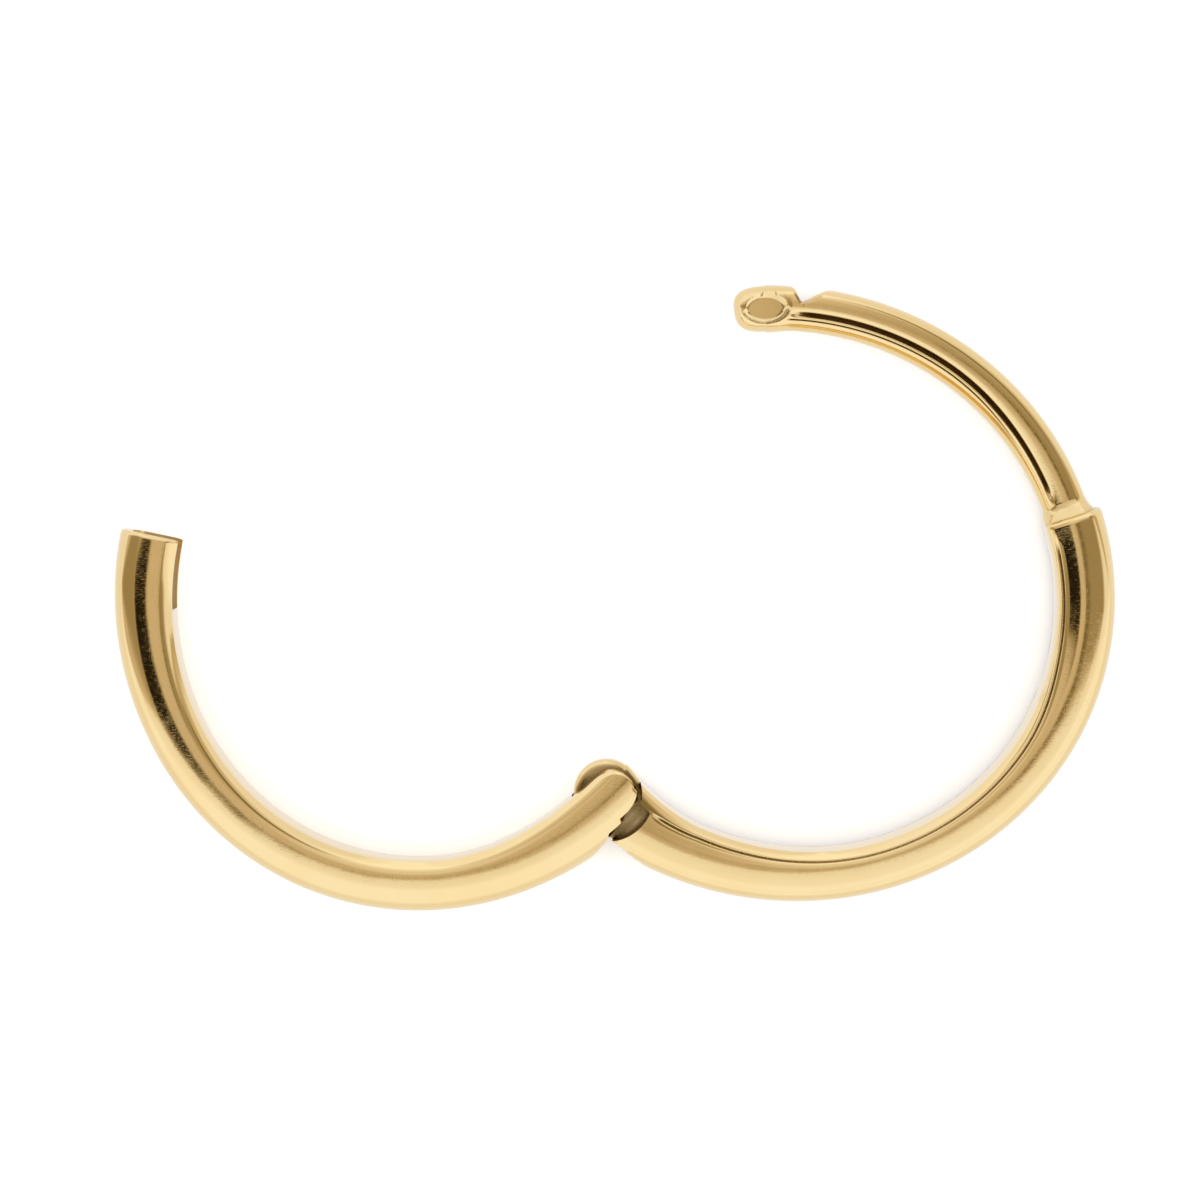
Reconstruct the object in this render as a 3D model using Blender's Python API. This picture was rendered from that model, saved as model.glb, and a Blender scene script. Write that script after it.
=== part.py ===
"""Hinged huggie earring in gold, modelled open and lying on its side.

The closed hoop is an oval. Ring angles are measured at the oval's centre, anticlockwise from +X, in degrees.
Depths are measured inwards from the oval, which is the hoop's outermost line. The origin is the hinge axis at
the surface that the hoop lies on. Every length is in metres.
"""
from math import ceil, cos, degrees, hypot, pi, radians, sin

import bmesh
import bpy

# Closed hoop
HOOP_LENGTH = 0.01475
HOOP_BREADTH = 0.01396
HOOP_TILT_DEG = -15.1
HOOP_WIDTH = 0.0018

# Depth of the band's inner face at its five named places
BAND_AT_CATCH = 0.00131
BAND_AT_FRONT = 0.00118
BAND_AT_HINGE = 0.00140
BAND_AT_BACK = 0.00112
BAND_AT_SHOULDER = 0.00134
FRONT_DEG = 188.0
BACK_DEG = 290.0
DOME_RISE = 0.00042
INNER_BEVEL = 0.00018

# Hinge
HINGE_DEG = 228.4
HINGE_DEPTH = 0.00096
OPEN_DEG = 82.6
KNUCKLE_RADIUS = 0.00073
KNUCKLE_ROUND = 0.00008
TONGUE_WIDTH = 0.00060
EAR_RADIUS = 0.00053
EAR_SHIFT = 0.00013
EAR_ROUND = 0.00012
EAR_GAP = 0.00006
STOP_GAP = 0.00009
GUSSET_SPAN_DEG = 21.6
FRONT_HEEL_DEG = 239.6
BACK_HEEL_DEG = 230.0
PIN_RADIUS = 0.00030
PIN_GAP = 0.00005
PIN_COVER = 0.00020

# Shoulder, ear post and its tip
SHOULDER_DEG = 15.0
SHOULDER_SLOPE = 0.00027
POST_THICKNESS = 0.00100
POST_WIDTH = 0.00120
POST_SINK = 0.00027
POST_DOME = 0.00026
POST_BEVEL = 0.00022
TIP_DEG = 100.8
TIP_SINK = 0.00016
TIP_ROUND = 0.00075
NOTCH_DEG = 87.3
NOTCH_DEPTH = 0.00036
NOTCH_STEEP = 0.00024
NOTCH_RAMP = 0.00062

# Catch in the front half
MOUTH_DEG = 86.7
MOUTH_SWELL = 0.00006
SWELL_SPAN_DEG = 45.0
SOCKET_GAP = 0.00005
SOCKET_END_GAP = 0.00014
LIP_HEIGHT = 0.00008
LIP_LENGTH = 0.00026

# Fineness of the faceted surfaces
STATION_STEP_DEG = 3.5
DOME_SEGMENTS = 10
BEVEL_SEGMENTS = 3
ROUND_SEGMENTS = 40
PIN_SEGMENTS = 24
TIP_STATIONS = 7
DOME_POWER = 2.4
TIP_POWER = 2.5
TIP_BLUNTNESS = 0.97
GUSSET_POWER = 1.5
CUT_MARGIN = 0.0005

SEMI_LENGTH = HOOP_LENGTH / 2
SEMI_BREADTH = HOOP_BREADTH / 2
MEAN_RADIUS = (SEMI_LENGTH + SEMI_BREADTH) / 2
MIDDLE = HOOP_WIDTH / 2
FULL_TURN_DEG = 360.0


def clear_scene():
    """Remove every object that the scene starts with."""
    for item in list(bpy.data.objects):
        bpy.data.objects.remove(item, do_unlink=True)


def turn_of(length):
    """Ring angle covered by a length along the band."""
    return degrees(length / MEAN_RADIUS)


def ease(share):
    """Smooth run from 0 to 1 for a share from 0 to 1."""
    return (1 - cos(pi * min(max(share, 0.0), 1.0))) / 2


def oval_point(angle):
    """Point of the oval, seen from its own centre."""
    turned = radians(angle - HOOP_TILT_DEG)
    reach = SEMI_LENGTH * SEMI_BREADTH / hypot(SEMI_BREADTH * cos(turned), SEMI_LENGTH * sin(turned))
    return reach * cos(radians(angle)), reach * sin(radians(angle))


def inward(angle):
    """Unit direction square to the oval, towards the inside."""
    tilt = radians(HOOP_TILT_DEG)
    turned = radians(angle - HOOP_TILT_DEG)
    along = cos(turned) / SEMI_LENGTH ** 2
    across = sin(turned) / SEMI_BREADTH ** 2
    size = hypot(along, across)
    along, across = along / size, across / size
    return -(along * cos(tilt) - across * sin(tilt)), -(along * sin(tilt) + across * cos(tilt))


def oval_centre():
    """Centre of the oval, placed so that the hinge axis is the origin."""
    point = oval_point(HINGE_DEG)
    normal = inward(HINGE_DEG)
    return -(point[0] + normal[0] * HINGE_DEPTH), -(point[1] + normal[1] * HINGE_DEPTH)


def place(angle, depth, height):
    """Point at a ring angle, a depth under the oval and a height over the surface."""
    centre = oval_centre()
    point = oval_point(angle)
    normal = inward(angle)
    return (centre[0] + point[0] + normal[0] * depth,
            centre[1] + point[1] + normal[1] * depth,
            height)


def band_depth(angle):
    """Depth of the band's inner face, eased from one named place to the next."""
    stops = (
        (MOUTH_DEG, BAND_AT_CATCH),
        (FRONT_DEG, BAND_AT_FRONT),
        (HINGE_DEG, BAND_AT_HINGE),
        (BACK_DEG, BAND_AT_BACK),
        (FULL_TURN_DEG + SHOULDER_DEG, BAND_AT_SHOULDER),
    )
    for (start, first), (end, last) in zip(stops, stops[1:]):
        if angle <= end:
            return first + (last - first) * ease((angle - start) / (end - start))
    return BAND_AT_SHOULDER


def gusset_depth(angle):
    """Extra depth that carries the back band's inner face out to the knuckle."""
    share = (HINGE_DEG + GUSSET_SPAN_DEG - angle) / GUSSET_SPAN_DEG
    return (HINGE_DEPTH + KNUCKLE_RADIUS - BAND_AT_HINGE) * min(max(share, 0.0), 1.0) ** GUSSET_POWER


def section(angle, outer, inner, width, dome, bevel):
    """Closed outline of the metal at a ring angle: domed outside, flat flanks, rounded inner corners."""
    half = width / 2
    outline = []
    for index in range(DOME_SEGMENTS + 1):
        turn = pi * (index / DOME_SEGMENTS - 0.5)
        rise = abs(cos(turn)) ** (2 / DOME_POWER)
        side = abs(sin(turn)) ** (2 / DOME_POWER)
        side = side if turn > 0 else -side
        outline.append((outer + dome * (1 - rise), MIDDLE + half * side))
    for index in range(BEVEL_SEGMENTS + 1):
        turn = pi / 2 * index / BEVEL_SEGMENTS
        outline.append((inner - bevel * (1 - sin(turn)), MIDDLE + half - bevel * (1 - cos(turn))))
    for index in range(BEVEL_SEGMENTS + 1):
        turn = pi / 2 * index / BEVEL_SEGMENTS
        outline.append((inner - bevel * (1 - cos(turn)), MIDDLE - half + bevel * (1 - sin(turn))))
    return [place(angle, depth, height) for depth, height in outline]


def stations(start, end):
    """Ring angles from start to end in even steps."""
    count = ceil(abs(end - start) / STATION_STEP_DEG)
    return [start + (end - start) * index / count for index in range(count + 1)]


def new_object(name, form, parent=None, smooth=True):
    """Turn a bmesh into a named object."""
    bmesh.ops.recalc_face_normals(form, faces=form.faces)
    mesh = bpy.data.meshes.new(name)
    form.to_mesh(mesh)
    form.free()
    if smooth:
        mesh.shade_smooth()
        mesh.set_sharp_from_angle(angle=radians(32))
    item = bpy.data.objects.new(name, mesh)
    bpy.context.collection.objects.link(item)
    item.parent = parent
    return item


def loft(name, outlines, parent=None):
    """Solid skinned through a row of outlines that have the same number of points."""
    form = bmesh.new()
    loops = [[form.verts.new(point) for point in outline] for outline in outlines]
    for near, far in zip(loops, loops[1:]):
        for index, corner in enumerate(near):
            follow = (index + 1) % len(near)
            form.faces.new((corner, near[follow], far[follow], far[index]))
    form.faces.new(loops[0])
    form.faces.new(loops[-1])
    return new_object(name, form, parent)


def disc(name, centre, radius, low, high, segments, rounding=0.0, parent=None):
    """Upright cylinder from one height to another, its rims rounded where asked."""
    form = bmesh.new()
    bmesh.ops.create_cone(form, cap_ends=True, segments=segments, radius1=radius, radius2=radius,
                          depth=high - low)
    if rounding > 0:
        rims = [edge for edge in form.edges
                if abs(edge.verts[0].co.z - edge.verts[1].co.z) < rounding * 0.01]
        bmesh.ops.bevel(form, geom=rims, offset=rounding, segments=2, profile=0.5, affect='EDGES')
    bmesh.ops.translate(form, verts=form.verts, vec=(centre[0], centre[1], (low + high) / 2))
    return new_object(name, form, parent)


def block(name, outline, low, high, parent=None):
    """Upright prism over an outline of (x, y) corners."""
    form = bmesh.new()
    floor = form.faces.new([form.verts.new((x, y, low)) for x, y in outline])
    top = bmesh.ops.extrude_face_region(form, geom=[floor])
    lifted = [item for item in top['geom'] if isinstance(item, bmesh.types.BMVert)]
    bmesh.ops.translate(form, verts=lifted, vec=(0, 0, high - low))
    return new_object(name, form, parent, smooth=False)


def combine(target, tool, operation):
    """Cut a tool from an object or join it on, and keep the tool as a hidden guide."""
    step = target.modifiers.new(tool.name, 'BOOLEAN')
    step.operation = operation
    step.solver = 'EXACT'
    step.object = tool
    tool.hide_render = True
    tool.display_type = 'WIRE'


def heel_cutter(name, direction, distance, parent=None):
    """Block whose flat face stands a distance from the hinge axis, facing it."""
    reach = HOOP_WIDTH + 2 * KNUCKLE_RADIUS
    out = (cos(radians(direction)), sin(radians(direction)))
    side = (-out[1], out[0])
    corners = [(distance, -reach), (distance + reach, -reach), (distance + reach, reach), (distance, reach)]
    outline = [(out[0] * along + side[0] * across, out[1] * along + side[1] * across)
               for along, across in corners]
    return block(name, outline, -CUT_MARGIN, HOOP_WIDTH + CUT_MARGIN, parent)


def gold(name, colour, roughness):
    """Polished gold."""
    material = bpy.data.materials.new(name)
    material.use_nodes = True
    shader = material.node_tree.nodes['Principled BSDF']
    shader.inputs['Base Color'].default_value = (*colour, 1.0)
    shader.inputs['Metallic'].default_value = 1.0
    shader.inputs['Roughness'].default_value = roughness
    return material


def ear_centre():
    """Centre of the ears' round ends, a little outside the hinge axis."""
    normal = inward(HINGE_DEG)
    return -normal[0] * EAR_SHIFT, -normal[1] * EAR_SHIFT


def ear_heel_distance():
    """Distance from the hinge axis to the flat that touches the ears' round ends."""
    centre = ear_centre()
    facing = radians(FRONT_HEEL_DEG)
    return EAR_RADIUS + centre[0] * cos(facing) + centre[1] * sin(facing)


def fork_radius():
    """Radius of the round clearances about the hinge axis.

    The corner that each clearance leaves at one half's heel stays a stop gap away from the other half's heel
    when the hoop is fully open.
    """
    spread = radians(FRONT_HEEL_DEG + OPEN_DEG - BACK_HEEL_DEG)
    ear, knuckle = ear_heel_distance(), KNUCKLE_RADIUS
    back_corner = hypot(knuckle, (ear + STOP_GAP - cos(spread) * knuckle) / sin(spread))
    front_corner = hypot(ear, (knuckle + STOP_GAP - cos(spread) * ear) / sin(spread))
    return max(back_corner, front_corner)


def front_outer(angle):
    """Depth of the front half's crown: it swells out a little over the catch."""
    return -MOUTH_SWELL * ease((MOUTH_DEG + SWELL_SPAN_DEG - angle) / SWELL_SPAN_DEG)


def post_sink(angle):
    """Depth of the post's crown, from the shoulder to the tip."""
    share = (angle - SHOULDER_DEG) / (TIP_DEG - SHOULDER_DEG)
    return POST_SINK + (TIP_SINK - POST_SINK) * min(max(share, 0.0), 1.0)


def make_front_half(hinge):
    """Front band with its ears, heel flat, fork slot, pin hole and catch, in the closed position."""
    outlines = [section(angle, front_outer(angle), band_depth(angle), HOOP_WIDTH, DOME_RISE, INNER_BEVEL)
                for angle in stations(MOUTH_DEG, HINGE_DEG)]
    half = loft('front_half', outlines, hinge)
    half.data.materials.append(gold('front_gold', (0.83, 0.60, 0.30), 0.16))
    ear = disc('ear_ends', ear_centre(), EAR_RADIUS, 0.0, HOOP_WIDTH, ROUND_SEGMENTS, EAR_ROUND, hinge)
    combine(half, ear, 'UNION')
    heel = heel_cutter('front_heel', FRONT_HEEL_DEG, ear_heel_distance(), hinge)
    combine(half, heel, 'DIFFERENCE')
    room = TONGUE_WIDTH / 2 + EAR_GAP
    slot = disc('fork_slot', (0.0, 0.0), fork_radius(), MIDDLE - room, MIDDLE + room, ROUND_SEGMENTS, parent=hinge)
    combine(half, slot, 'DIFFERENCE')
    hole = disc('ear_hole', (0.0, 0.0), PIN_RADIUS + PIN_GAP, -CUT_MARGIN, HOOP_WIDTH - PIN_COVER + PIN_GAP,
                PIN_SEGMENTS, parent=hinge)
    combine(half, hole, 'DIFFERENCE')
    combine(half, make_socket(hinge), 'DIFFERENCE')
    return half


def make_socket(hinge):
    """Channel that takes the post's tip, open at the mouth and along the inside, with a lip at the mouth."""
    lip_end = MOUTH_DEG + turn_of(LIP_LENGTH)
    bottom = TIP_DEG + turn_of(SOCKET_END_GAP)
    outlines = []
    for angle in [MOUTH_DEG - turn_of(CUT_MARGIN)] + stations(MOUTH_DEG, lip_end) + stations(lip_end, bottom)[1:]:
        lip = LIP_HEIGHT * min(max((lip_end - angle) / (lip_end - MOUTH_DEG), 0.0), 1.0)
        crown = post_sink(angle) - SOCKET_GAP + lip
        inner = BAND_AT_CATCH + CUT_MARGIN
        outlines.append(section(angle, crown, inner, POST_WIDTH + 2 * SOCKET_GAP, POST_DOME, SOCKET_GAP))
    return loft('socket', outlines, hinge)


def post_outline(angle, fullness):
    """Outline of the post, drawn in about its own middle by the tip's rounding."""
    middle = post_sink(angle) + POST_THICKNESS / 2
    reach = POST_THICKNESS / 2 * fullness
    return section(angle, middle - reach, middle + reach, POST_WIDTH * fullness, POST_DOME * fullness,
                   POST_BEVEL * fullness)


def make_back_half():
    """Tongue, thick band, shoulder, post and notched tip, all one solid."""
    outlines = [section(angle, 0.0, band_depth(angle) + gusset_depth(angle), HOOP_WIDTH, DOME_RISE, INNER_BEVEL)
                for angle in stations(HINGE_DEG, FULL_TURN_DEG + SHOULDER_DEG)]
    post_start = SHOULDER_DEG + turn_of(SHOULDER_SLOPE)
    rounding_start = TIP_DEG - turn_of(TIP_ROUND)
    outlines += [post_outline(angle, 1.0) for angle in stations(post_start, rounding_start)]
    for index in range(1, TIP_STATIONS + 1):
        share = TIP_BLUNTNESS * sin(pi / 2 * index / TIP_STATIONS)
        fullness = (1 - share ** TIP_POWER) ** (1 / TIP_POWER)
        outlines.append(post_outline(rounding_start + turn_of(TIP_ROUND) * share, fullness))
    half = loft('back_half', outlines)
    half.data.materials.append(gold('back_gold', (0.83, 0.60, 0.30), 0.12))
    combine(half, heel_cutter('back_heel', BACK_HEEL_DEG, KNUCKLE_RADIUS), 'DIFFERENCE')
    floor = MIDDLE - TONGUE_WIDTH / 2
    roof = MIDDLE + TONGUE_WIDTH / 2
    lower = disc('lower_pocket', (0.0, 0.0), fork_radius(), -CUT_MARGIN, floor, ROUND_SEGMENTS)
    upper = disc('upper_pocket', (0.0, 0.0), fork_radius(), roof, HOOP_WIDTH + CUT_MARGIN, ROUND_SEGMENTS)
    knuckle = disc('knuckle', (0.0, 0.0), KNUCKLE_RADIUS, floor, roof, ROUND_SEGMENTS, KNUCKLE_ROUND)
    hole = disc('tongue_hole', (0.0, 0.0), PIN_RADIUS + PIN_GAP, -CUT_MARGIN, HOOP_WIDTH + CUT_MARGIN,
                PIN_SEGMENTS)
    combine(half, lower, 'DIFFERENCE')
    combine(half, upper, 'DIFFERENCE')
    combine(half, knuckle, 'UNION')
    combine(half, hole, 'DIFFERENCE')
    combine(half, make_notch(), 'DIFFERENCE')
    return half


def make_notch():
    """Wedge for the catch notch: a steep wall on the tip's side and a long ramp on the other."""
    crown = post_sink(NOTCH_DEG)
    scale = (crown + NOTCH_DEPTH + CUT_MARGIN) / NOTCH_DEPTH
    steep = NOTCH_DEG + turn_of(NOTCH_STEEP * scale)
    ramp = NOTCH_DEG - turn_of(NOTCH_RAMP * scale)
    corners = [place(NOTCH_DEG, crown + NOTCH_DEPTH, 0.0), place(steep, -CUT_MARGIN, 0.0),
               place(ramp, -CUT_MARGIN, 0.0)]
    return block('notch', [(x, y) for x, y, _ in corners], -CUT_MARGIN, HOOP_WIDTH + CUT_MARGIN)


def make_pin(hinge):
    """Plain pin, flush with the underside and covered by the upper ear."""
    pin = disc('hinge_pin', (0.0, 0.0), PIN_RADIUS, 0.0, HOOP_WIDTH - PIN_COVER, PIN_SEGMENTS, parent=hinge)
    pin.data.materials.append(gold('pin_gold', (0.74, 0.55, 0.28), 0.3))
    return pin


def main():
    """Build the earring, then swing the front half open."""
    clear_scene()
    hinge = bpy.data.objects.new('hinge_axis', None)
    bpy.context.collection.objects.link(hinge)
    make_back_half()
    make_front_half(hinge)
    make_pin(hinge)
    hinge.rotation_euler = (0.0, 0.0, radians(OPEN_DEG))
    bpy.context.view_layer.update()


main()
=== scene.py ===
import logging
from collections.abc import Callable
from dataclasses import dataclass, field
from enum import Enum
from math import degrees, radians

import bpy
import numpy as np
from mathutils import Matrix, Vector


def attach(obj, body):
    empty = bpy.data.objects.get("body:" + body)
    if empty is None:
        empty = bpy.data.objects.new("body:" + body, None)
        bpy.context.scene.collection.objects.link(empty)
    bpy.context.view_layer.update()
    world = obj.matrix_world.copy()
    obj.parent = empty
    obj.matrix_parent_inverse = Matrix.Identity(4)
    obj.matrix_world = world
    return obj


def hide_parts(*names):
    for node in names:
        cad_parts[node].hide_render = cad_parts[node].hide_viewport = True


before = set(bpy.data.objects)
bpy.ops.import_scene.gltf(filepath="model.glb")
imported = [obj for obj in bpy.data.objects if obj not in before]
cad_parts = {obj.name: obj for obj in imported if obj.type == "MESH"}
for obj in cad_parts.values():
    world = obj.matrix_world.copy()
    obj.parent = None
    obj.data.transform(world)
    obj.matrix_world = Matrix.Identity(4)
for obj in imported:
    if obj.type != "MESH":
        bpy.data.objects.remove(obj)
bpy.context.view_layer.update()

Array = np.ndarray
Field = Callable[[Array, Array, Array], Array]
Triple = tuple[float, float, float]
Edge = tuple[float, float]

MILLIMETRE = 0.001
FULL_TURN = 360.0
SHARP_ANGLE = 32.0
UNROLL_STEPS = 8
HALVINGS = 34
SPACING_STEPS = 6000
SWEEP_REACH = 1.6
PLATE_REACH = 4.0
TOOL_OVERHANG = 0.5
RIM_STEPS = 8
DOME_RAYS = 26
FLANK_POINTS = 9
GROOVE_POINTS = 10
BEVEL_RAYS = 30
KNOT_GAP = 0.0005
KNOT_SPREAD = 1.8
PLATE_RAYS = 192
LOG = logging.getLogger("earring")


class Slot(Enum):
    """Material slots of the record."""

    POLISHED = "polished_gold"
    PIN = "pin_gold"


class Operation(Enum):
    """How one mesh changes another."""

    CUT = "DIFFERENCE"
    JOIN = "UNION"


# Round blends of fields, which are negative inside the metal and count millimetres


def round_cut(first: Array, second: Array, radius: float | Array) -> Array:
    """Common part of two solids, its edge rounded.

    Args:
        first: field of the first solid.
        second: field of the second solid.
        radius: radius of the rounded edge.

    Returns:
        The field of what both solids hold.
    """
    corner = np.hypot(np.maximum(first + radius, 0.0), np.maximum(second + radius, 0.0))
    return np.minimum(np.maximum(first, second), -radius) + corner


def round_join(first: Array, second: Array, radius: float | Array) -> Array:
    """Both solids together, the valley between them filled to a radius.

    Args:
        first: field of the first solid.
        second: field of the second solid.
        radius: radius of the fillet.

    Returns:
        The field of what either solid holds.
    """
    valley = np.hypot(np.maximum(radius - first, 0.0), np.maximum(radius - second, 0.0))
    return np.maximum(np.minimum(first, second), radius) - valley


def bent(run: Array, soft: float) -> Array:
    """Level before zero and rising one for one after it, rounded over a soft length."""
    return (np.hypot(run, soft) + run - soft) / 2


def ease(share: Array | float) -> Array:
    """Smooth run from 0 to 1 for shares from 0 to 1."""
    return (1 - np.cos(np.pi * np.clip(share, 0.0, 1.0))) / 2


def graded(start: float, end: float, step: float, crowds: list[Triple]) -> Array:
    """Values from start to end that crowd together at named places.

    Args:
        start: first value.
        end: last value.
        step: spacing away from the crowds.
        crowds: the place, the half width and the strength of each crowd.

    Returns:
        The values in rising order.
    """
    fine = np.linspace(start, end, SPACING_STEPS)
    density = np.ones_like(fine)
    for place, spread, strength in crowds:
        density += strength * np.exp(-(((fine - place) / spread) ** 2))
    total = np.concatenate([[0.0], np.cumsum((density[1:] + density[:-1]) / 2)])
    count = max(2, int(np.ceil(total[-1] * (end - start) / (len(fine) - 1) / step)))
    return np.interp(np.linspace(0.0, total[-1], count + 1), total, fine)


@dataclass(frozen=True)
class Oval:
    """Outermost line of the closed hoop. Angles are in degrees at its centre, lengths in millimetres."""

    length: float = 14.75
    breadth: float = 13.96
    tilt: float = -15.1
    hinge_angle: float = 228.4
    hinge_depth: float = 0.96

    @property
    def mean_radius(self) -> float:
        """Mean of the two half axes."""
        return (self.length + self.breadth) / 4

    def turn_of(self, length: float) -> float:
        """Angle that a length along the line covers."""
        return degrees(length / self.mean_radius)

    def rim(self, angle: Array | float) -> Array:
        """Points of the line, seen from its own centre.

        Args:
            angle: ring angles.

        Returns:
            The x and y of each point.
        """
        turned, plain = np.radians(angle - self.tilt), np.radians(angle)
        across, along = self.breadth / 2, self.length / 2
        reach = across * along / np.hypot(across * np.cos(turned), along * np.sin(turned))
        return np.stack([reach * np.cos(plain), reach * np.sin(plain)], axis=-1)

    def inward(self, angle: Array | float) -> Array:
        """Directions square to the line, towards the inside.

        Args:
            angle: ring angles.

        Returns:
            The unit vector at each angle.
        """
        turned, tilt = np.radians(angle - self.tilt), radians(self.tilt)
        along = np.cos(turned) / (self.length / 2) ** 2
        across = np.sin(turned) / (self.breadth / 2) ** 2
        size = np.hypot(along, across)
        x, y = along * np.cos(tilt) - across * np.sin(tilt), along * np.sin(tilt) + across * np.cos(tilt)
        return -np.stack([x / size, y / size], axis=-1)

    @property
    def centre(self) -> Array:
        """Centre of the line when the hinge axis is the origin."""
        return -(self.rim(self.hinge_angle) + self.inward(self.hinge_angle) * self.hinge_depth)

    def plan(self, angle: Array, depth: Array) -> Array:
        """Plan places, x and y, of ring angles and depths under the line."""
        return self.centre + self.rim(angle) + self.inward(angle) * depth[..., None]

    def run(self, angle: Array, origin: float) -> Array:
        """Length along the line from one angle to others."""
        return np.radians(angle - origin) * self.mean_radius

    def unroll(self, plan: Array) -> tuple[Array, Array]:
        """Ring angles and depths of plan places.

        Args:
            plan: plan places.

        Returns:
            The angle and the depth of each place.
        """
        seen = plan - self.centre
        angle = np.degrees(np.arctan2(seen[..., 1], seen[..., 0])) % FULL_TURN
        for _ in range(UNROLL_STEPS):
            inward = self.inward(angle)
            offset = seen - self.rim(angle)
            ahead = offset[..., 0] * inward[..., 1] - offset[..., 1] * inward[..., 0]
            angle = angle + np.degrees(ahead / self.mean_radius)
        return angle, np.sum((seen - self.rim(angle)) * self.inward(angle), axis=-1)


@dataclass(frozen=True)
class Profile:
    """Cross-section of a bar: domed outside, flanks that fall away from a crest, bevelled inside.

    Lengths are in millimetres and falls in millimetres for each millimetre.
    """

    half: float
    rise: float
    bulge: float = 0.04
    power: float = 2.4
    crest: tuple[float, float] = (0.56, 0.80)
    fall: tuple[float, float] = (0.08, 0.08)
    soft: float = 0.06
    crease: float = 0.05
    bevel_run: float = 0.22
    bevel_drop: float = 0.15
    bevel_edge: float = 0.05

    def flank(self, depth: Array) -> Array:
        """Half width that is left at a depth on either side of the crest."""
        outer = self.fall[0] * bent(self.crest[0] - depth, self.soft)
        return self.half - outer - self.fall[1] * bent(depth - self.crest[1], self.soft)

    def solid(self, depth: Array, height: Array, inner: Array | float, groove: Array | float = 0.0,
              widen: Array | float = 0.0) -> Array:
        """Field of the bar.

        Args:
            depth: depths under the crown.
            height: heights over the middle plane.
            inner: depth of the inner face.
            groove: depth of the grooves in the flanks.
            widen: how much wider than usual the inner bevel is.

        Returns:
            The field at each place.
        """
        side, wide, run = np.abs(height), self.half + self.bulge, self.bevel_run + widen
        climb = np.clip((self.rise - depth) / self.rise, 0.0, None)
        dome = ((climb**self.power + (side / wide) ** self.power) ** (1 / self.power) - 1) * wide
        body = round_cut(dome, side - self.flank(depth) + groove, self.crease)
        slope = (depth - inner + run) * self.bevel_drop + (side - self.half) * run
        body = round_cut(body, slope / np.hypot(run, self.bevel_drop), self.bevel_edge)
        return round_cut(body, depth - inner, self.bevel_edge)


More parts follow.
